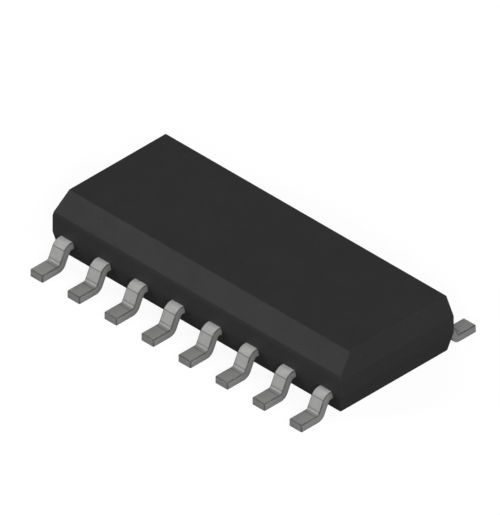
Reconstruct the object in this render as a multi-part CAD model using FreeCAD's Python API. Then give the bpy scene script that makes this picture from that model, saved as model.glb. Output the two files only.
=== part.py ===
import FreeCAD, Part
import math
import os

# Small-outline package with gull-wing leads, in millimetres.
# Z = 0 is the board that the feet stand on, and the origin is under the middle of the body.
# The long side runs along X. Lead 1 is at the -X end of the -Y side, and the numbers
# run along that side, round the +X end and back along the +Y side.

# Moulded body
end_margin = 0.505          # from the last lead's middle to the end of the body
body_width = 3.90           # across the vertical band
standoff = 0.12             # between the board and the underside
lower_height = 0.54         # drafted sides below the band
band_height = 0.48          # vertical band between the two halves of the mould
upper_height = 0.61         # drafted sides above the band
draft_angle = 12.0          # of both halves, in degrees
bevel_width = 0.435         # bevel along the lead 1 side, seen from above
bevel_drop = 0.50           # from the top face down to the bevel's lower edge
ejector_diameter = 1.00     # shallow round mark of the mould's ejector, under the body
ejector_depth = 0.03

# Leads outside the body
leads_per_side = 8
lead_pitch = 1.27
lead_width = 0.43
lead_thickness = 0.21
frame_plane = 0.48          # underside of the leadframe strip above the board
shoulder_length = 0.05      # flat part between the body's band and the first bend
shoulder_radius = 0.06      # inside of the first bend
slope_angle = 64.0          # of the sloping part, in degrees from the board
foot_radius = 0.05          # inside of the second bend
foot_length = 0.565         # flat part that is soldered

# Leads inside the body
ear_setback = 0.22          # from the body's band in to the lock ears
ear_length = 0.18           # along the lead
ear_reach = 0.13            # beyond each side of the lead
finger_width = 0.30
finger_spacing = 0.18       # between neighbouring fingers and beside a tie bar
finger_gap = 0.25           # between a finger's tip and the paddle
finger_turn = 0.30          # slanted corner where a finger turns towards the paddle's end
turning_fingers = 2         # at each end of each side

# Die paddle and tie bars
paddle_length = 4.20
paddle_width = 1.90
paddle_downset = 0.13       # below the plane of the leads
tie_bar_width = 0.30
tie_bar_slope = 0.30        # length over which the bar rises to the plane of the leads
tie_bar_cover = 0.10        # compound between the bar's end and the end of the body

# Die
attach_thickness = 0.03
attach_border = 0.05        # adhesive squeezed out round the die
die_length = 3.00
die_width = 1.40
die_thickness = 0.28

# Bond wires
wire_diameter = 0.05
wire_loop = 0.20            # top of the loop above the die
wire_bend_radius = 0.08
wire_bend_steps = 4         # straight lengths that make up the bend
wire_sides = 8              # flats round the wire
ball_diameter = 0.10
ball_height = 0.03
pad_inset = 0.10            # from the die's edge to the middle of a bond pad
side_pad_pitch = 0.62       # pads along the die's long sides
end_pad_pitch = 0.30        # pads along the die's short ends
stitch_inset = 0.13         # from a finger's tip to the middle of the wire's landing

# Places that follow from the sizes
body_length = (leads_per_side - 1) * lead_pitch + 2 * end_margin
band_bottom = standoff + lower_height
band_top = band_bottom + band_height
body_top = band_top + upper_height
draft = math.tan(math.radians(draft_angle))
side = body_width / 2
frame_top = frame_plane + lead_thickness
paddle_bottom = frame_plane - paddle_downset
paddle_top = paddle_bottom + lead_thickness
attach_top = paddle_top + attach_thickness
die_top = attach_top + die_thickness
ear_outer = side - ear_setback
ear_inner = ear_outer - ear_length
side_tip = paddle_width / 2 + finger_gap
end_tip = paddle_length / 2 + finger_gap


def vec(x, y, z):
    return FreeCAD.Vector(x, y, z)


def box(x_low, x_high, y_low, y_high, z_low, z_high):
    return Part.makeBox(x_high - x_low, y_high - y_low, z_high - z_low, vec(x_low, y_low, z_low))


def loop(corners):
    return Part.makePolygon(corners + corners[:1])


def flat(corners):
    return Part.Face(loop(corners))


def layer(length, width, z_low, z_high):
    return box(-length / 2, length / 2, -width / 2, width / 2, z_low, z_high)


def mirrored(shape, x_sign, y_sign):
    if x_sign < 0:
        shape = shape.mirror(vec(0, 0, 0), vec(1, 0, 0))
    if y_sign < 0:
        shape = shape.mirror(vec(0, 0, 0), vec(0, 1, 0))
    return shape


def rectangle(length, width, z):
    x = length / 2
    y = width / 2
    return loop([vec(-x, -y, z), vec(x, -y, z), vec(x, y, z), vec(-x, y, z)])


def drafted_half(z_band, z_face):
    """One half of the moulded body, from the band to its top or bottom face."""
    inset = abs(z_face - z_band) * draft
    at_band = rectangle(body_length, body_width, z_band)
    at_face = rectangle(body_length - 2 * inset, body_width - 2 * inset, z_face)
    return Part.makeLoft([at_band, at_face], True, True)


def bevel_cutter():
    """Prism that takes the bevel off the lead 1 side, with room to spare above and outside."""
    z_low = body_top - bevel_drop
    y_low = side - (z_low - band_top) * draft
    spare = body_width / 4
    run = spare * bevel_width / bevel_drop
    outline = flat([
        vec(-body_length, -y_low - run, z_low - spare),
        vec(-body_length, -y_low + bevel_width + run, body_top + spare),
        vec(-body_length, -side - run, body_top + spare),
    ])
    return outline.extrude(vec(2 * body_length, 0, 0))


def body_outside():
    band = layer(body_length, body_width, band_bottom, band_top)
    lower = drafted_half(band_bottom, standoff)
    upper = drafted_half(band_top, body_top)
    ejector_mark = Part.makeCylinder(ejector_diameter / 2, ejector_depth, vec(0, 0, standoff))
    whole = band.fuse([lower, upper]).removeSplitter()
    return whole.cut([bevel_cutter(), ejector_mark])


def lead_profile():
    """Side view of a lead on the +Y side, from the lock ears out to the toe."""
    lean = math.radians(slope_angle)
    across = shoulder_radius + lead_thickness + foot_radius
    fall = (frame_plane - shoulder_radius) - (lead_thickness + foot_radius)
    slope_length = (across * math.cos(lean) + fall) / math.sin(lean)
    y_first = side + shoulder_length
    z_first = frame_plane - shoulder_radius
    y_second = y_first + slope_length * math.cos(lean) + across * math.sin(lean)
    z_second = lead_thickness + foot_radius
    toe = y_second + foot_length

    def on_first(radius, angle):
        return vec(0, y_first + radius * math.sin(angle), z_first + radius * math.cos(angle))

    def on_second(radius, angle):
        return vec(0, y_second - radius * math.sin(angle), z_second - radius * math.cos(angle))

    over = shoulder_radius + lead_thickness
    under = foot_radius + lead_thickness
    top_in = vec(0, ear_inner, frame_top)
    bottom_in = vec(0, ear_inner, frame_plane)
    toe_top = vec(0, toe, lead_thickness)
    toe_bottom = vec(0, toe, 0)
    edges = [
        Part.LineSegment(top_in, on_first(over, 0)),
        Part.Arc(on_first(over, 0), on_first(over, lean / 2), on_first(over, lean)),
        Part.LineSegment(on_first(over, lean), on_second(foot_radius, lean)),
        Part.Arc(on_second(foot_radius, lean), on_second(foot_radius, lean / 2),
                 on_second(foot_radius, 0)),
        Part.LineSegment(on_second(foot_radius, 0), toe_top),
        Part.LineSegment(toe_top, toe_bottom),
        Part.LineSegment(toe_bottom, on_second(under, 0)),
        Part.Arc(on_second(under, 0), on_second(under, lean / 2), on_second(under, lean)),
        Part.LineSegment(on_second(under, lean), on_first(shoulder_radius, lean)),
        Part.Arc(on_first(shoulder_radius, lean), on_first(shoulder_radius, lean / 2),
                 on_first(shoulder_radius, 0)),
        Part.LineSegment(on_first(shoulder_radius, 0), bottom_in),
        Part.LineSegment(bottom_in, top_in),
    ]
    return Part.Face(Part.Wire([edge.toShape() for edge in edges]))


def lead_x(step):
    """X of a lead, counted in pitches from the middle of its side."""
    return step * lead_pitch


def turning_level(step):
    """Distance from the X axis at which a turning finger runs to the paddle's end."""
    outermost = (leads_per_side - 1) / 2
    inside = outermost - step
    first = tie_bar_width / 2 + finger_spacing + finger_width / 2
    return first + inside * (finger_width + finger_spacing)


def turns(step):
    return step > (leads_per_side - 1) / 2 - turning_fingers


def finger_route(step):
    """Middle line of the inner finger of a lead with x > 0 and y > 0, from the ears to the tip."""
    x = lead_x(step)
    start = (x, ear_inner + ear_length / 2)
    if not turns(step):
        return [start, (x, side_tip)]
    level = turning_level(step)
    corner = min(finger_turn, x - end_tip)
    return [start, (x, level + corner), (x - corner, level), (end_tip, level)]


def ribbon(route, width):
    """Flat strip of the leadframe along a route, with mitred corners."""
    def normal(a, b):
        length = math.hypot(b[0] - a[0], b[1] - a[1])
        return ((a[1] - b[1]) / length, (b[0] - a[0]) / length)

    spans = [normal(a, b) for a, b in zip(route, route[1:])]
    left = []
    right = []
    for i, point in enumerate(route):
        before = spans[max(i - 1, 0)]
        after = spans[min(i, len(spans) - 1)]
        mitre = (width / 2) / (1 + before[0] * after[0] + before[1] * after[1])
        dx = (before[0] + after[0]) * mitre
        dy = (before[1] + after[1]) * mitre
        left.append(vec(point[0] + dx, point[1] + dy, frame_plane))
        right.append(vec(point[0] - dx, point[1] - dy, frame_plane))
    return flat(left + right[::-1]).extrude(vec(0, 0, lead_thickness))


def lead(step):
    """A lead with x > 0 and y > 0: formed strip, lock ears and inner finger in one piece."""
    x = lead_x(step)
    formed = lead_profile().extrude(vec(lead_width, 0, 0))
    formed.translate(vec(x - lead_width / 2, 0, 0))
    reach = lead_width / 2 + ear_reach
    ears = box(x - reach, x + reach, ear_inner, ear_outer, frame_plane, frame_top)
    finger = ribbon(finger_route(step), finger_width)
    return formed.fuse([ears, finger]).removeSplitter()


def tie_bar():
    """The +X tie bar, which rises from inside the paddle's end to the plane of the leads."""
    x_paddle = paddle_length / 2
    x_inside = x_paddle - tie_bar_slope
    x_raised = x_paddle + tie_bar_slope
    x_end = body_length / 2 - tie_bar_cover
    y = -tie_bar_width / 2
    outline = flat([
        vec(x_inside, y, paddle_bottom),
        vec(x_paddle, y, paddle_bottom),
        vec(x_raised, y, frame_plane),
        vec(x_end, y, frame_plane),
        vec(x_end, y, frame_top),
        vec(x_raised, y, frame_top),
        vec(x_paddle, y, paddle_top),
        vec(x_inside, y, paddle_top),
    ])
    return outline.extrude(vec(0, tie_bar_width, 0))


def die_paddle():
    plate = layer(paddle_length, paddle_width, paddle_bottom, paddle_top)
    bar = tie_bar()
    return plate.fuse([bar, mirrored(bar, -1, 1)]).removeSplitter()


def pad_place(step):
    """Middle of the bond pad on the die that serves a lead with x > 0 and y > 0."""
    if turns(step):
        inside = (leads_per_side - 1) / 2 - step
        return (die_length / 2 - pad_inset, end_pad_pitch * (inside + 0.5))
    return (side_pad_pitch * step, die_width / 2 - pad_inset)


def stitch_place(step):
    """Where the wire lands on the finger of a lead with x > 0 and y > 0."""
    if turns(step):
        return (end_tip + stitch_inset, turning_level(step))
    return (lead_x(step), side_tip + stitch_inset)


def wire_line(reach):
    """Points of a wire's middle line, as distance from the ball and height, and its final slope."""
    crest = die_top + wire_loop
    slope = math.atan2(crest - frame_top, reach)
    turn = math.pi / 2 + slope
    centre = (wire_bend_radius, crest - wire_bend_radius * math.tan(turn / 2))
    step_turn = turn / wire_bend_steps
    corner_radius = wire_bend_radius / math.cos(step_turn / 2)
    corners = []
    for i in range(wire_bend_steps):
        angle = math.pi - (i + 0.5) * step_turn
        corners.append((centre[0] + corner_radius * math.cos(angle),
                        centre[1] + corner_radius * math.sin(angle)))
    return corners, slope, step_turn


def section(diameter):
    """Corners of the wire's section, as distance across the bend's plane and along it."""
    corner = diameter / 2 / math.cos(math.pi / wire_sides)
    angles = [(i + 0.5) * 2 * math.pi / wire_sides for i in range(wire_sides)]
    return [(corner * math.sin(angle), corner * math.cos(angle)) for angle in angles]


def level_ring(diameter, x, z):
    return [vec(x + along, across, z) for across, along in section(diameter)]


def bond_wire(step):
    """Ball on the die, a rise, one bend and a slanting run that lands flat on the finger."""
    pad = pad_place(step)
    stitch = stitch_place(step)
    reach = math.hypot(stitch[0] - pad[0], stitch[1] - pad[1])
    heading = math.atan2(stitch[1] - pad[1], stitch[0] - pad[0])
    corners, slope, step_turn = wire_line(reach)
    rings = [
        level_ring(ball_diameter, 0, die_top),
        level_ring(ball_diameter, 0, die_top + ball_height),
        level_ring(wire_diameter, 0, die_top + ball_height),
    ]
    for i, (x, z) in enumerate(corners):
        tilt = (i + 0.5) * step_turn
        stretch = 1 / math.cos(step_turn / 2)
        rings.append([vec(x + along * stretch * math.cos(tilt), across, z - along * stretch * math.sin(tilt))
                      for across, along in section(wire_diameter)])
    landing = 1 / math.sin(slope)
    rings.append([vec(reach - along * landing, across, frame_top)
                  for across, along in section(wire_diameter)])
    wire = ringed_solid(rings)
    wire.rotate(vec(0, 0, 0), vec(0, 0, 1), math.degrees(heading))
    wire.translate(vec(pad[0], pad[1], 0))
    return wire


def ringed_solid(rings):
    """Solid with flat sides between rings of corners, closed at both ends."""
    faces = [flat(rings[0]), flat(rings[-1])]
    for low, high in zip(rings, rings[1:]):
        faces += [flat([low[i - 1], low[i], high[i], high[i - 1]]) for i in range(len(low))]
    solid = Part.makeSolid(Part.makeShell(faces))
    if solid.Volume < 0:
        solid.reverse()
    return solid


def lead_numbers():
    """Each lead's number with its step along X and its side."""
    for i in range(leads_per_side):
        along = i - (leads_per_side - 1) / 2
        yield i + 1, along, -1
        yield 2 * leads_per_side - i, along, 1


def save(name, shape):
    solids = shape.Solids
    if len(solids) != 1 or not solids[0].isValid():
        raise ValueError(name + " is not one valid solid")
    solids[0].exportStep("parts/" + name + ".step")


def build():
    pieces = {
        "die_paddle": die_paddle(),
        "die_attach": layer(die_length + 2 * attach_border, die_width + 2 * attach_border,
                            paddle_top, attach_top),
        "silicon_die": layer(die_length, die_width, attach_top, die_top),
    }
    for number, along, y_sign in lead_numbers():
        x_sign = 1 if along > 0 else -1
        label = "%02d" % number
        pieces["lead_" + label] = mirrored(lead(abs(along)), x_sign, y_sign)
        pieces["bond_wire_" + label] = mirrored(bond_wire(abs(along)), x_sign, y_sign)
    pieces["mould_body"] = body_outside().cut(list(pieces.values()))
    return pieces


os.makedirs("parts", exist_ok=True)
for name, shape in build().items():
    save(name, shape)
print("leads reach %.2f mm toe to toe" % (2 * lead_profile().BoundBox.YMax))
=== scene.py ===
import math

import bmesh
import bpy
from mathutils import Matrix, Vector


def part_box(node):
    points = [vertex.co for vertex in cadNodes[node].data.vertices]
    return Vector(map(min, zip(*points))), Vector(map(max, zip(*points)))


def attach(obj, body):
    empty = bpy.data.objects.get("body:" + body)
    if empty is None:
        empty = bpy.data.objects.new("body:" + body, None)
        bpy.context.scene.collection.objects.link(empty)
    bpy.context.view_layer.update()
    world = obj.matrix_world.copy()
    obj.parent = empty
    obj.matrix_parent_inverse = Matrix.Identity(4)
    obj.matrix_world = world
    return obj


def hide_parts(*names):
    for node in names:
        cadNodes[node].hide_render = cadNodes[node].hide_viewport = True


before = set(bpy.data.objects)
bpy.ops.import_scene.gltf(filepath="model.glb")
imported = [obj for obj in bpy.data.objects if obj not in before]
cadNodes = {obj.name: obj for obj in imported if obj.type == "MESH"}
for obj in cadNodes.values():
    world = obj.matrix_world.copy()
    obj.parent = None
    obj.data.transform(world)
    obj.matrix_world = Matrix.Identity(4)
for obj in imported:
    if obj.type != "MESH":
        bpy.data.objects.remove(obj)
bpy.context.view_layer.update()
mm = 0.001                      # the scene is in metres, and the values below are in millimetres

bodyLow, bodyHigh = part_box("mould_body")
dieLow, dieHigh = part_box("silicon_die")
leadNumbers = range(1, 17)      # pin numbers, 1 to 8 on the bevelled side
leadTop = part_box("lead_01")[1].z
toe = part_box("lead_12")[1].y
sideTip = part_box("lead_12")[0].y    # inner end of a finger that runs straight in
endTip = -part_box("lead_16")[1].x    # inner end of a finger that turns to the paddle's end


# Small helpers for node trees

def feed(tree, socket, value):
    if isinstance(value, bpy.types.NodeSocket):
        tree.links.new(value, socket)
    else:
        socket.default_value = value


def addNode(tree, kind, inputs=None, **settings):
    node = tree.nodes.new(kind)
    for name, value in settings.items():
        setattr(node, name, value)
    for name, value in (inputs or {}).items():
        feed(tree, node.inputs[name], value)
    return node


def calc(tree, operation, a, b=0.0):
    return addNode(tree, "ShaderNodeMath", {0: a, 1: b}, operation=operation).outputs[0]


def distanceTo(tree, value, place):
    return calc(tree, "ABSOLUTE", calc(tree, "SUBTRACT", value, place))


def spread(tree, value, fromLow, fromHigh, toLow=0.0, toHigh=1.0):
    ends = {"From Min": fromLow, "From Max": fromHigh, "To Min": toLow, "To Max": toHigh}
    return addNode(tree, "ShaderNodeMapRange", {"Value": value, **ends}).outputs["Result"]


def blendValue(tree, factor, a, b):
    return addNode(tree, "ShaderNodeMix", {0: factor, 2: a, 3: b}, data_type="FLOAT").outputs[0]


def blendColour(tree, factor, a, b, how="MIX"):
    inputs = {0: factor, 6: a, 7: b}
    return addNode(tree, "ShaderNodeMix", inputs, data_type="RGBA", blend_type=how).outputs[2]


def tint(tree, mask, amount, colour, tintColour):
    return blendColour(tree, calc(tree, "MULTIPLY", mask, amount), colour, tintColour)


def splitAxes(tree, vector):
    return addNode(tree, "ShaderNodeSeparateXYZ", {0: vector}).outputs


def grey(level):
    return (level, level, level, 1.0)


def startGroup(name, inputs, outputs):
    group = bpy.data.node_groups.new(name, "ShaderNodeTree")
    for label, kind, value in inputs:
        socket = group.interface.new_socket(label, in_out="INPUT", socket_type=kind)
        if value is not None:
            socket.default_value = value
    for label in outputs:
        group.interface.new_socket(label, in_out="OUTPUT", socket_type="NodeSocketFloat")
    given = group.nodes.new("NodeGroupInput").outputs
    result = group.nodes.new("NodeGroupOutput").inputs
    return group, given, result


def useGroup(tree, group, **inputs):
    node = tree.nodes.new("ShaderNodeGroup")
    node.node_tree = group
    for name, value in inputs.items():
        feed(tree, node.inputs[name], value)
    return node.outputs


# Effects that several materials share

def makeGrain():
    # two sizes of noise in one, for mould texture, plating, paste and gold
    group, given, result = startGroup(
        "grain",
        [("Place", "NodeSocketVector", None), ("Size", "NodeSocketFloat", 0.05),
         ("Fine", "NodeSocketFloat", 0.4)],
        ["Tone", "Height"])
    scale = calc(group, "DIVIDE", 1 / mm, given["Size"])
    fineScale = calc(group, "MULTIPLY", scale, 3.7)
    coarse = addNode(group, "ShaderNodeTexNoise",
                     {"Vector": given["Place"], "Scale": scale, "Detail": 3.0, "Roughness": 0.55})
    fine = addNode(group, "ShaderNodeTexNoise",
                   {"Vector": given["Place"], "Scale": fineScale, "Detail": 2.0, "Roughness": 0.6})
    both = blendValue(group, given["Fine"], coarse.outputs["Fac"], fine.outputs["Fac"])
    feed(group, result["Tone"], spread(group, both, 0.3, 0.7))
    feed(group, result["Height"], both)
    return group


def makeEdgeRub():
    # broken mask on the rounded edges, which carry a mark of their own in the mesh
    group, given, result = startGroup(
        "edgeRub",
        [("Place", "NodeSocketVector", None), ("Patch", "NodeSocketFloat", 0.2),
         ("Least", "NodeSocketFloat", 0.3)],
        ["Mask"])
    mark = addNode(group, "ShaderNodeAttribute", attribute_name="roundedEdge").outputs["Fac"]
    scale = calc(group, "DIVIDE", 1 / mm, given["Patch"])
    noise = addNode(group, "ShaderNodeTexNoise", {"Vector": given["Place"], "Scale": scale, "Detail": 3.0})
    patchy = spread(group, noise.outputs["Fac"], 0.35, 0.62, given["Least"], 1.0)
    feed(group, result["Mask"], calc(group, "MULTIPLY", mark, patchy))
    return group


def makeStreaks():
    # long thin lines, for rolled strip and for sheared sides
    group, given, result = startGroup(
        "streaks",
        [("Place", "NodeSocketVector", None), ("Stretch", "NodeSocketVector", (1.0, 0.05, 1.0)),
         ("Spacing", "NodeSocketFloat", 0.02)],
        ["Tone"])
    squeezed = addNode(group, "ShaderNodeVectorMath", {0: given["Place"], 1: given["Stretch"]},
                       operation="MULTIPLY").outputs["Vector"]
    scale = calc(group, "DIVIDE", 1 / mm, given["Spacing"])
    noise = addNode(group, "ShaderNodeTexNoise",
                    {"Vector": squeezed, "Scale": scale, "Detail": 4.0, "Roughness": 0.65})
    feed(group, result["Tone"], spread(group, noise.outputs["Fac"], 0.32, 0.68))
    return group


grain = makeGrain()
edgeRub = makeEdgeRub()
streaks = makeStreaks()
print("shared node groups ready")


# Materials

def startMaterial(name):
    material = bpy.data.materials.new(name)
    material.use_nodes = True
    tree = material.node_tree
    where = addNode(tree, "ShaderNodeTexCoord").outputs
    return material, tree, tree.nodes["Principled BSDF"].inputs, where


def setRoughness(tree, shader, tone, ends):
    feed(tree, shader["Roughness"], spread(tree, tone, 0.0, 1.0, *ends))


def setRelief(tree, shader, height, depth, strength):
    node = addNode(tree, "ShaderNodeBump", {"Height": height, "Distance": depth * mm, "Strength": strength})
    feed(tree, shader["Normal"], node.outputs["Normal"])


mouldLook = {
    "dark": grey(0.0235),
    "light": grey(0.0290),
    "grainSize": 0.055,
    "cloudSize": 1.3,           # faint clouds where the compound flowed
    "cloudShare": 0.45,
    "filler": grey(0.075),      # specks of silica that reach the surface
    "fillerGap": 0.075,
    "fillerShare": 0.14,        # of the gaps that hold a speck
    "fillerEdge": (0.17, 0.09),  # where a speck begins and where it is full, in shares of the gap
    "parting": grey(0.019),     # the line where the two halves of the mould met
    "partingHalf": 0.006,
    "partingAmount": 0.6,
    "rubbed": grey(0.033),      # on the edges
    "rubPatch": 0.25,
    "rubAmount": 0.15,
    "roughness": (0.62, 0.50),
    "specular": 0.22,
    "relief": 0.0035,
}


def makeMouldCompound():
    look = mouldLook
    material, tree, shader, where = startMaterial("mouldCompound")
    place = where["Object"]
    texture = useGroup(tree, grain, Place=place, Size=look["grainSize"], Fine=0.45)
    clouds = useGroup(tree, grain, Place=place, Size=look["cloudSize"], Fine=0.25)
    tone = blendValue(tree, look["cloudShare"], texture["Tone"], clouds["Tone"])
    base = blendColour(tree, tone, look["dark"], look["light"])

    cells = addNode(tree, "ShaderNodeTexVoronoi", {"Vector": place, "Scale": 1 / (look["fillerGap"] * mm)})
    speck = spread(tree, cells.outputs["Distance"], *look["fillerEdge"])
    chance = addNode(tree, "ShaderNodeSeparateColor", {"Color": cells.outputs["Color"]}).outputs["Red"]
    speck = calc(tree, "MULTIPLY", speck, calc(tree, "LESS_THAN", chance, look["fillerShare"]))
    base = blendColour(tree, speck, base, look["filler"])

    # the mould parts at the upper face of the leads
    offParting = distanceTo(tree, splitAxes(tree, place)["Z"], leadTop)
    parting = spread(tree, offParting, look["partingHalf"] * mm, look["partingHalf"] * mm * 0.5)
    base = tint(tree, parting, look["partingAmount"], base, look["parting"])

    rub = useGroup(tree, edgeRub, Place=place, Patch=look["rubPatch"])
    base = tint(tree, rub["Mask"], look["rubAmount"], base, look["rubbed"])
    feed(tree, shader["Base Color"], base)
    setRoughness(tree, shader, tone, look["roughness"])
    shader["Specular IOR Level"].default_value = look["specular"]
    setRelief(tree, shader, texture["Height"], look["relief"], 0.8)
    return material


tinLook = {
    "dull": (0.286, 0.286, 0.282, 1.0),
    "bright": (0.404, 0.404, 0.399, 1.0),
    "grainSize": 0.040,
    "patchSize": 0.11,
    "patchShare": 0.4,
    "rolledGap": 0.03,          # lines along the strip
    "rolledShare": 0.25,
    "sheared": (0.262, 0.262, 0.259, 1.0),
    "shearGap": 0.022,          # lines down the sheared sides and the toe
    "shearAmount": 0.65,        # on the sides
    "squareOn": (0.75, 0.95),   # how far a face must look sideways to count as cut, and as fully so
    "toeDepth": 0.03,
    "thin": (0.120, 0.120, 0.118, 1.0),  # on the edges, where the tin is thinnest
    "thinPatch": 0.16,
    "thinLeast": 0.75,
    # painted highlight on the crown of the upper bend, lighter where it faces up
    "paintedHighlight": (0.66, 0.66, 0.65, 1.0),
    "paintedHighlightFrom": 0.45,          # height above the floor
    "paintedHighlightLeast": 0.85,         # how much of the painted highlight the dullest patches keep
    "crown": (0.72, 0.97),      # how far up the bend must face for the painted highlight to begin and be full
    "pressed": (0.130, 0.130, 0.128, 1.0),  # the forming tool's lines
    "pressedLeast": 0.7,
    "pressedUp": 0.2,           # the lines are on faces that look up more than this
    "lineCore": 0.2,            # share of a line's width that has its full strength
    "bendLineAt": 0.556,        # height, just above the start of the upper bend
    "bendLine": (0.022, 0.90),  # half the line's width, and how strong it is
    "heelLineAt": 0.275,        # height, just above the lower bend
    "heelLine": (0.025, 0.75),
    "footLineAt": 0.49,         # from the toe, just below the lower bend
    "footLine": (0.032, 0.65),
    "copper": (0.60, 0.33, 0.20, 1.0),
    "brightCopper": (0.72, 0.44, 0.29, 1.0),
    "tinDepth": 0.03,           # how far the tin creeps in under the compound
    "silver": (0.78, 0.77, 0.74, 1.0),
    "silverLength": 0.33,       # of each finger, where the wire lands
    "metallic": (0.32, 0.95),   # of the tin outside the body, and of the bare metal inside it
    "roughness": (0.58, 0.47),
    "relief": 0.0018,
}


def makeTinPlate():
    # matt tin outside the body, bare copper inside it, silver under the wires
    look = tinLook
    material, tree, shader, where = startMaterial("tinPlate")
    place = where["Object"]
    texture = useGroup(tree, grain, Place=place, Size=look["grainSize"], Fine=0.4)
    patches = useGroup(tree, grain, Place=place, Size=look["patchSize"], Fine=0.3)
    rolled = useGroup(tree, streaks, Place=place, Stretch=(1.0, 0.08, 1.0), Spacing=look["rolledGap"])
    tone = blendValue(tree, look["patchShare"], texture["Tone"], patches["Tone"])
    tone = blendValue(tree, look["rolledShare"], tone, rolled["Tone"])
    tin = blendColour(tree, tone, look["dull"], look["bright"])

    facing = splitAxes(tree, where["Normal"])
    at = splitAxes(tree, place)
    along = calc(tree, "ABSOLUTE", at["X"])
    across = calc(tree, "ABSOLUTE", at["Y"])

    # duller lines on the two sheared sides and on the toe
    onSide = spread(tree, calc(tree, "ABSOLUTE", facing["X"]), *look["squareOn"], 0.0, look["shearAmount"])
    nearToe = calc(tree, "GREATER_THAN", across, toe - look["toeDepth"] * mm)
    endOn = spread(tree, calc(tree, "ABSOLUTE", facing["Y"]), *look["squareOn"])
    cut = calc(tree, "MAXIMUM", onSide, calc(tree, "MULTIPLY", nearToe, endOn))
    shear = useGroup(tree, streaks, Place=place, Stretch=(1.0, 1.0, 0.12), Spacing=look["shearGap"])
    tin = blendColour(tree, cut, tin, blendColour(tree, shear["Tone"], look["sheared"], look["dull"]))

    # painted highlight: the crown of the bend by the body is painted lighter where it faces up, in place of
    # the light it catches
    paintedHighlight = spread(tree, at["Z"], look["paintedHighlightFrom"] * mm, look["bendLineAt"] * mm)
    paintedHighlight = calc(tree, "MULTIPLY", paintedHighlight, spread(tree, patches["Tone"], 0.0, 1.0, look["paintedHighlightLeast"], 1.0))
    tin = tint(tree, paintedHighlight, spread(tree, facing["Z"], *look["crown"]), tin, look["paintedHighlight"])

    # the forming tool left a line across that bend and one on each side of the lower bend
    def toolLine(value, place, half, strength):
        off = distanceTo(tree, value, place)
        return spread(tree, off, half * mm, half * mm * look["lineCore"], 0.0, strength)

    bendLine = toolLine(at["Z"], look["bendLineAt"] * mm, *look["bendLine"])
    heelLine = toolLine(at["Z"], look["heelLineAt"] * mm, *look["heelLine"])
    footLine = toolLine(across, toe - look["footLineAt"] * mm, *look["footLine"])
    pressed = calc(tree, "MAXIMUM", bendLine, calc(tree, "MAXIMUM", heelLine, footLine))
    patchy = spread(tree, patches["Tone"], 0.0, 1.0, look["pressedLeast"], 1.0)
    pressed = calc(tree, "MULTIPLY", pressed, calc(tree, "GREATER_THAN", facing["Z"], look["pressedUp"]))
    pressed = calc(tree, "MULTIPLY", pressed, patchy)
    tin = blendColour(tree, pressed, tin, look["pressed"])

    # the edges, where the tin is thinnest
    edges = useGroup(tree, edgeRub, Place=place, Patch=look["thinPatch"], Least=look["thinLeast"])
    tin = blendColour(tree, edges["Mask"], tin, look["thin"])

    # bare copper inside the body, with silver on the tips of the fingers
    inside = calc(tree, "LESS_THAN", across, bodyHigh.y - look["tinDepth"] * mm)
    onEndTip = calc(tree, "LESS_THAN", along, endTip + look["silverLength"] * mm)
    onSideTip = calc(tree, "LESS_THAN", across, sideTip + look["silverLength"] * mm)
    onTip = calc(tree, "MULTIPLY", onEndTip, onSideTip)
    strip = blendColour(tree, rolled["Tone"], look["copper"], look["brightCopper"])
    metal = blendColour(tree, inside, tin, strip)
    metal = blendColour(tree, onTip, metal, look["silver"])
    feed(tree, shader["Base Color"], metal)
    feed(tree, shader["Metallic"], spread(tree, inside, 0.0, 1.0, *look["metallic"]))
    setRoughness(tree, shader, tone, look["roughness"])
    setRelief(tree, shader, texture["Height"], look["relief"], 0.7)
    return material


paddleLook = {
    "dark": (0.56, 0.29, 0.17, 1.0),
    "light": (0.72, 0.43, 0.28, 1.0),
    "rolledGap": 0.025,
    "grainSize": 0.06,
    "roughness": (0.28, 0.42),
    "relief": 0.0008,
}


def makeCopperFrame():
    look = paddleLook
    material, tree, shader, where = startMaterial("copperFrame")
    place = where["Object"]
    rolled = useGroup(tree, streaks, Place=place, Stretch=(0.04, 1.0, 1.0), Spacing=look["rolledGap"])
    texture = useGroup(tree, grain, Place=place, Size=look["grainSize"], Fine=0.4)
    feed(tree, shader["Base Color"], blendColour(tree, rolled["Tone"], look["dark"], look["light"]))
    shader["Metallic"].default_value = 1.0
    setRoughness(tree, shader, texture["Tone"], look["roughness"])
    setRelief(tree, shader, rolled["Tone"], look["relief"], 0.6)
    return material


pasteLook = {
    "resin": (0.30, 0.30, 0.28, 1.0),
    "flakes": (0.62, 0.61, 0.58, 1.0),  # of silver
    "flakeSize": 0.03,
    "metallic": 0.35,
    "roughness": (0.62, 0.40),
    "relief": 0.003,
}


def makeDieAdhesive():
    look = pasteLook
    material, tree, shader, where = startMaterial("dieAdhesive")
    flakes = useGroup(tree, grain, Place=where["Object"], Size=look["flakeSize"], Fine=0.6)
    feed(tree, shader["Base Color"], blendColour(tree, flakes["Tone"], look["resin"], look["flakes"]))
    shader["Metallic"].default_value = look["metallic"]
    setRoughness(tree, shader, flakes["Tone"], look["roughness"])
    setRelief(tree, shader, flakes["Height"], look["relief"], 0.8)
    return material


siliconLook = {
    "blockA": (0.060, 0.065, 0.085, 1.0),
    "blockB": (0.130, 0.115, 0.120, 1.0),
    "track": (0.170, 0.160, 0.145, 1.0),
    "blockSize": 0.62,
    "rowSize": 0.045,
    "border": (0.045, 0.050, 0.068, 1.0),
    "borderWidth": 0.17,        # the plain band that the bond pads stand in
    "seal": (0.240, 0.230, 0.210, 1.0),
    "sealPlace": 0.030,         # from the sawn edge
    "sealWidth": 0.008,
    "sawn": (0.10, 0.10, 0.11, 1.0),
    "metallic": 0.4,
    "cloudSize": 0.2,
    "roughness": (0.10, 0.20),
}


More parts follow.
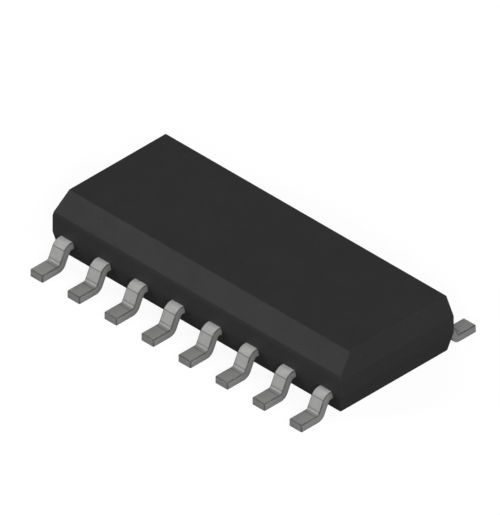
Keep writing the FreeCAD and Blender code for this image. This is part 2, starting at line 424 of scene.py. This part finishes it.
def makeSilicon():
    # blocks and rows of circuit inside a border on top, plain sawn sides
    look = siliconLook
    material, tree, shader, where = startMaterial("silicon")
    place = where["Object"]
    blocks = addNode(tree, "ShaderNodeTexBrick",
                     {"Vector": place, "Scale": 1 / (look["blockSize"] * mm), "Color1": look["blockA"],
                      "Color2": look["blockB"], "Mortar": look["track"], "Mortar Size": 0.012,
                      "Brick Width": 0.7, "Row Height": 0.62},
                     offset=0.31, squash=1.9, squash_frequency=2)
    rows = addNode(tree, "ShaderNodeTexBrick",
                   {"Vector": place, "Scale": 1 / (look["rowSize"] * mm), "Color1": grey(0.62),
                    "Color2": grey(1.0), "Mortar": grey(0.45), "Mortar Size": 0.04},
                   offset=0.0, squash=2.3, squash_frequency=3)
    circuit = blendColour(tree, 1.0, blocks.outputs["Color"], rows.outputs["Color"], "MULTIPLY")

    at = splitAxes(tree, place)
    fromEndX = calc(tree, "SUBTRACT", dieHigh.x, calc(tree, "ABSOLUTE", at["X"]))
    fromEndY = calc(tree, "SUBTRACT", dieHigh.y, calc(tree, "ABSOLUTE", at["Y"]))
    fromEdge = calc(tree, "MINIMUM", fromEndX, fromEndY)
    inBorder = calc(tree, "LESS_THAN", fromEdge, look["borderWidth"] * mm)
    offSeal = distanceTo(tree, fromEdge, look["sealPlace"] * mm)
    onSeal = calc(tree, "LESS_THAN", offSeal, look["sealWidth"] * mm / 2)
    circuit = blendColour(tree, inBorder, circuit, look["border"])
    circuit = blendColour(tree, onSeal, circuit, look["seal"])

    onTop = calc(tree, "GREATER_THAN", splitAxes(tree, where["Normal"])["Z"], 0.7)
    feed(tree, shader["Base Color"], blendColour(tree, onTop, look["sawn"], circuit))
    shader["Metallic"].default_value = look["metallic"]
    clouds = useGroup(tree, grain, Place=place, Size=look["cloudSize"], Fine=0.3)
    setRoughness(tree, shader, clouds["Tone"], look["roughness"])
    return material


goldLook = {
    "dark": (0.86, 0.58, 0.20, 1.0),
    "light": (0.95, 0.70, 0.32, 1.0),
    "grainSize": 0.06,
    "roughness": (0.34, 0.28),
}

padLook = {
    "dark": (0.70, 0.71, 0.72, 1.0),
    "light": (0.84, 0.85, 0.86, 1.0),
    "grainSize": 0.015,
    "roughness": (0.25, 0.40),
}


def makeShinyMetal(name, look):
    material, tree, shader, where = startMaterial(name)
    texture = useGroup(tree, grain, Place=where["Object"], Size=look["grainSize"], Fine=0.4)
    feed(tree, shader["Base Color"], blendColour(tree, texture["Tone"], look["dark"], look["light"]))
    shader["Metallic"].default_value = 1.0
    setRoughness(tree, shader, texture["Tone"], look["roughness"])
    return material


mouldCompound = makeMouldCompound()
tinPlate = makeTinPlate()
copperFrame = makeCopperFrame()
dieAdhesive = makeDieAdhesive()
silicon = makeSilicon()
goldWire = makeShinyMetal("goldWire", goldLook)
padMetal = makeShinyMetal("padMetal", padLook)
print("materials ready")


# Pieces

meshRules = {
    "joinWithin": 0.0001,
    "flatWithin": 1,            # degrees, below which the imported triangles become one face
    "creaseFrom": 35,           # degrees, above which the shading breaks
    "sharpFrom": 40,            # degrees, above which an edge of a metal piece is rounded
}


def cleanCopy(node):
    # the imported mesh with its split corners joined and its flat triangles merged
    mesh = bmesh.new()
    mesh.from_mesh(cadNodes[node].data)
    bmesh.ops.remove_doubles(mesh, verts=mesh.verts, dist=meshRules["joinWithin"] * mm)
    flat = math.radians(meshRules["flatWithin"])
    bmesh.ops.dissolve_limit(mesh, angle_limit=flat, verts=mesh.verts, edges=mesh.edges)
    mesh.faces.layers.float.new("roundedEdge")
    return mesh


def isSharp(edge, degrees):
    return edge.is_convex and edge.calc_face_angle(0) > math.radians(degrees)


def roundEdges(mesh, edges, radius, segments):
    rounded = bmesh.ops.bevel(mesh, geom=edges, offset=radius * mm, offset_type="OFFSET", segments=segments,
                              profile=0.5, affect="EDGES", clamp_overlap=True, miter_outer="ARC")
    mark = mesh.faces.layers.float["roundedEdge"]
    for face in rounded["faces"]:
        face[mark] = 1.0


def finishPiece(mesh, name, material, node=None):
    data = bpy.data.meshes.new(name)
    mesh.to_mesh(data)
    mesh.free()
    data.shade_smooth()
    data.set_sharp_from_angle(angle=math.radians(meshRules["creaseFrom"]))
    data.materials.append(material)
    piece = bpy.data.objects.new(name, data)
    bpy.context.scene.collection.objects.link(piece)
    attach(piece, "root")
    if node:
        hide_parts(node)
    return piece


def evenShading(piece):
    even = piece.modifiers.new("evenShading", "WEIGHTED_NORMAL")
    even.keep_sharp = True


bodyShape = {
    "edge": 0.022,
    "segments": 3,
    "sharpFrom": 4,             # degrees, so that the lines between draft and band are eased too
}


def makeBody():
    mesh = cleanCopy("mould_body")
    touch = 0.01 * mm
    proud = 0.0005 * mm
    extremes = [v.co.copy() for v in mesh.verts
                if v.co.z > bodyHigh.z - touch or v.co.z < bodyLow.z + touch
                or abs(v.co.x) > bodyHigh.x - touch or abs(v.co.y) > bodyHigh.y - touch]

    def isOutside(face):
        # none of the body's outermost corners is in front of an outer face
        return all((corner - face.verts[0].co).dot(face.normal) < proud for corner in extremes)

    outer = {face for face in mesh.faces if isOutside(face)}
    edges = [edge for edge in mesh.edges
             if isSharp(edge, bodyShape["sharpFrom"]) and all(face in outer for face in edge.link_faces)]
    roundEdges(mesh, edges, bodyShape["edge"], bodyShape["segments"])
    evenShading(finishPiece(mesh, "mouldBody", mouldCompound, "mould_body"))


leadShape = {
    "rolledEdge": 0.030,        # on the side where the punch came in, and down the toe's corners
    "cutEdge": 0.010,           # on the far side
    "segments": 3,
    "punchSide": (0.35, 1.0),   # where the punch came from, as outward and upward parts
    "farSide": -0.5,            # a face that looks less towards the punch is on the far side
}


def makeLead(number):
    node = "lead_%02d" % number
    mesh = cleanCopy(node)
    outward, upward = leadShape["punchSide"]
    if number <= 8:
        outward = -outward
    punch = Vector((0.0, outward, upward))

    def isRolled(edge):
        return all(face.normal.dot(punch) > leadShape["farSide"] for face in edge.link_faces)

    sharp = [edge for edge in mesh.edges if isSharp(edge, meshRules["sharpFrom"])]
    rolled = [edge for edge in sharp if isRolled(edge)]
    roundEdges(mesh, rolled, leadShape["rolledEdge"], leadShape["segments"])
    cut = [edge for edge in mesh.edges if isSharp(edge, meshRules["sharpFrom"])]
    roundEdges(mesh, cut, leadShape["cutEdge"], leadShape["segments"])
    evenShading(finishPiece(mesh, "lead%02d" % number, tinPlate, node))


def makeWire(number):
    # the flat-sided wire drawn round, with its two end faces kept flat
    node = "bond_wire_%02d" % number
    mesh = cleanCopy(node)
    crease = mesh.edges.layers.float.new("crease_edge")
    for face in mesh.faces:
        if len(face.verts) > 4:
            for edge in face.edges:
                edge[crease] = 1.0
    piece = finishPiece(mesh, "bondWire%02d" % number, goldWire, node)
    drawn = piece.modifiers.new("drawnRound", "SUBSURF")
    drawn.levels = 2
    drawn.render_levels = 2


innerShape = {
    "paddleEdge": 0.020,
    "pasteEdge": 0.012,
    "dieEdge": 0.004,
    "segments": 2,
    "padSize": 0.125,
    "padHeight": 0.0012,
}


def makeInnerPiece(node, name, material, radius):
    mesh = cleanCopy(node)
    sharp = [edge for edge in mesh.edges if isSharp(edge, meshRules["sharpFrom"])]
    roundEdges(mesh, sharp, radius, innerShape["segments"])
    evenShading(finishPiece(mesh, name, material, node))


def makeBondPads():
    # one square of metal on the die under each wire's ball
    mesh = bmesh.new()
    size = innerShape["padSize"] * mm
    height = innerShape["padHeight"] * mm
    touch = 0.001 * mm
    for number in leadNumbers:
        wire = cadNodes["bond_wire_%02d" % number].data
        landing = [v.co for v in wire.vertices
                   if abs(v.co.z - dieHigh.z) < touch and dieLow.x < v.co.x < dieHigh.x]
        middle = sum(landing, Vector()) / len(landing)
        pad = bmesh.ops.create_cube(mesh, size=1.0)["verts"]
        bmesh.ops.scale(mesh, verts=pad, vec=(size, size, height))
        bmesh.ops.translate(mesh, verts=pad, vec=middle + Vector((0.0, 0.0, height / 2)))
    finishPiece(mesh, "bondPads", padMetal)


makeBody()
for number in leadNumbers:
    makeLead(number)
    makeWire(number)
print("body, leads and wires ready")
makeInnerPiece("die_paddle", "diePaddle", copperFrame, innerShape["paddleEdge"])
makeInnerPiece("die_attach", "dieAttach", dieAdhesive, innerShape["pasteEdge"])
makeInnerPiece("silicon_die", "siliconDie", silicon, innerShape["dieEdge"])
makeBondPads()
print("inner pieces ready")


# Floor, light and camera

stage = {
    "floorSize": 1200,
    "floorShade": 0.14,         # what the floor gives back to the object
    "floorLit": 0.098,          # how bright that shade is under these lamps
    "floorInGloss": 0.05,       # what its white adds in reflections
    "worldShade": 0.05,
    "worldInGloss": 0.03,
}


def whiteFor(tree, plain, inGloss, toCamera):
    # the camera sees white, reflections see some of it, and other rays see the plain level
    path = addNode(tree, "ShaderNodeLightPath").outputs
    shiny = calc(tree, "MAXIMUM", path["Is Glossy Ray"], path["Is Transmission Ray"])
    level = spread(tree, shiny, 0.0, 1.0, plain, plain + inGloss)
    return blendValue(tree, path["Is Camera Ray"], level, toCamera)


def makeFloor():
    bpy.ops.mesh.primitive_plane_add(size=stage["floorSize"] * mm)
    floor = bpy.context.object
    floor.name = "floor"
    material = bpy.data.materials.new("paleFloor")
    material.use_nodes = True
    tree = material.node_tree
    tree.nodes.clear()
    level = whiteFor(tree, 0.0, stage["floorInGloss"], 1.0 - stage["floorLit"])
    matt = addNode(tree, "ShaderNodeBsdfDiffuse", {"Color": grey(stage["floorShade"])})
    white = addNode(tree, "ShaderNodeEmission", {"Color": grey(1.0), "Strength": level})
    both = addNode(tree, "ShaderNodeAddShader", {0: matt.outputs[0], 1: white.outputs[0]})
    addNode(tree, "ShaderNodeOutputMaterial", {"Surface": both.outputs[0]})
    floor.data.materials.append(material)


def makeWorld():
    world = bpy.data.worlds.new("studio")
    bpy.context.scene.world = world
    world.use_nodes = True
    tree = world.node_tree
    tree.nodes.clear()
    level = whiteFor(tree, stage["worldShade"], stage["worldInGloss"], 1.0)
    sky = addNode(tree, "ShaderNodeBackground", {"Color": grey(1.0), "Strength": level})
    addNode(tree, "ShaderNodeOutputWorld", {"Surface": sky.outputs[0]})


view = {
    "azimuth": 45.0,
    "elevation": 35.264,        # a true isometric view
    "pixelsPerMm": 41.21,
    "pixelsHigh": 515,
    "right": -0.076,            # from the middle of the feet to the middle of the frame
    "up": 1.127,
    "distance": 200.0,
}

lamps = {
    # degrees round from the camera, degrees up, level, softness in degrees, seen in gloss
    "key": (0, 24, 0.76, 30, False),
    "side": (-88, 27, 0.36, 30, True),
    "end": (55, 33, 0.39, 40, True),
    "backFill": (180, 6, 0.70, 60, False),
}


def towards(azimuth, elevation):
    a = math.radians(azimuth)
    e = math.radians(elevation)
    return Vector((math.sin(a) * math.cos(e), -math.cos(a) * math.cos(e), math.sin(e)))


def addLamp(name, turn, lift, level, softness, inGloss):
    data = bpy.data.lights.new(name, "SUN")
    data.energy = level * math.pi       # at a level of 1 a surface that faces the lamp shows its own colour
    data.angle = math.radians(softness)
    lamp = bpy.data.objects.new(name, data)
    lamp.visible_glossy = inGloss
    lamp.rotation_mode = "QUATERNION"
    lamp.rotation_quaternion = towards(view["azimuth"] + turn, lift).to_track_quat("Z", "Y")
    bpy.context.scene.collection.objects.link(lamp)


def makeCamera():
    data = bpy.data.cameras.new("camera")
    data.type = "ORTHO"
    data.ortho_scale = view["pixelsHigh"] / view["pixelsPerMm"] * mm
    data.clip_start = 0.001
    camera = bpy.data.objects.new("camera", data)
    bpy.context.scene.collection.objects.link(camera)
    back = towards(view["azimuth"], view["elevation"])
    right = Vector((0.0, 0.0, 1.0)).cross(back).normalized()
    up = back.cross(right)
    camera.location = (right * view["right"] + up * view["up"] + back * view["distance"]) * mm
    camera.rotation_mode = "QUATERNION"
    camera.rotation_quaternion = back.to_track_quat("Z", "Y")
    bpy.context.scene.camera = camera


makeFloor()
makeWorld()
for name, settings in lamps.items():
    addLamp(name, *settings)
makeCamera()
bpy.context.scene.view_settings.view_transform = "Standard"
print("floor, light and camera ready")
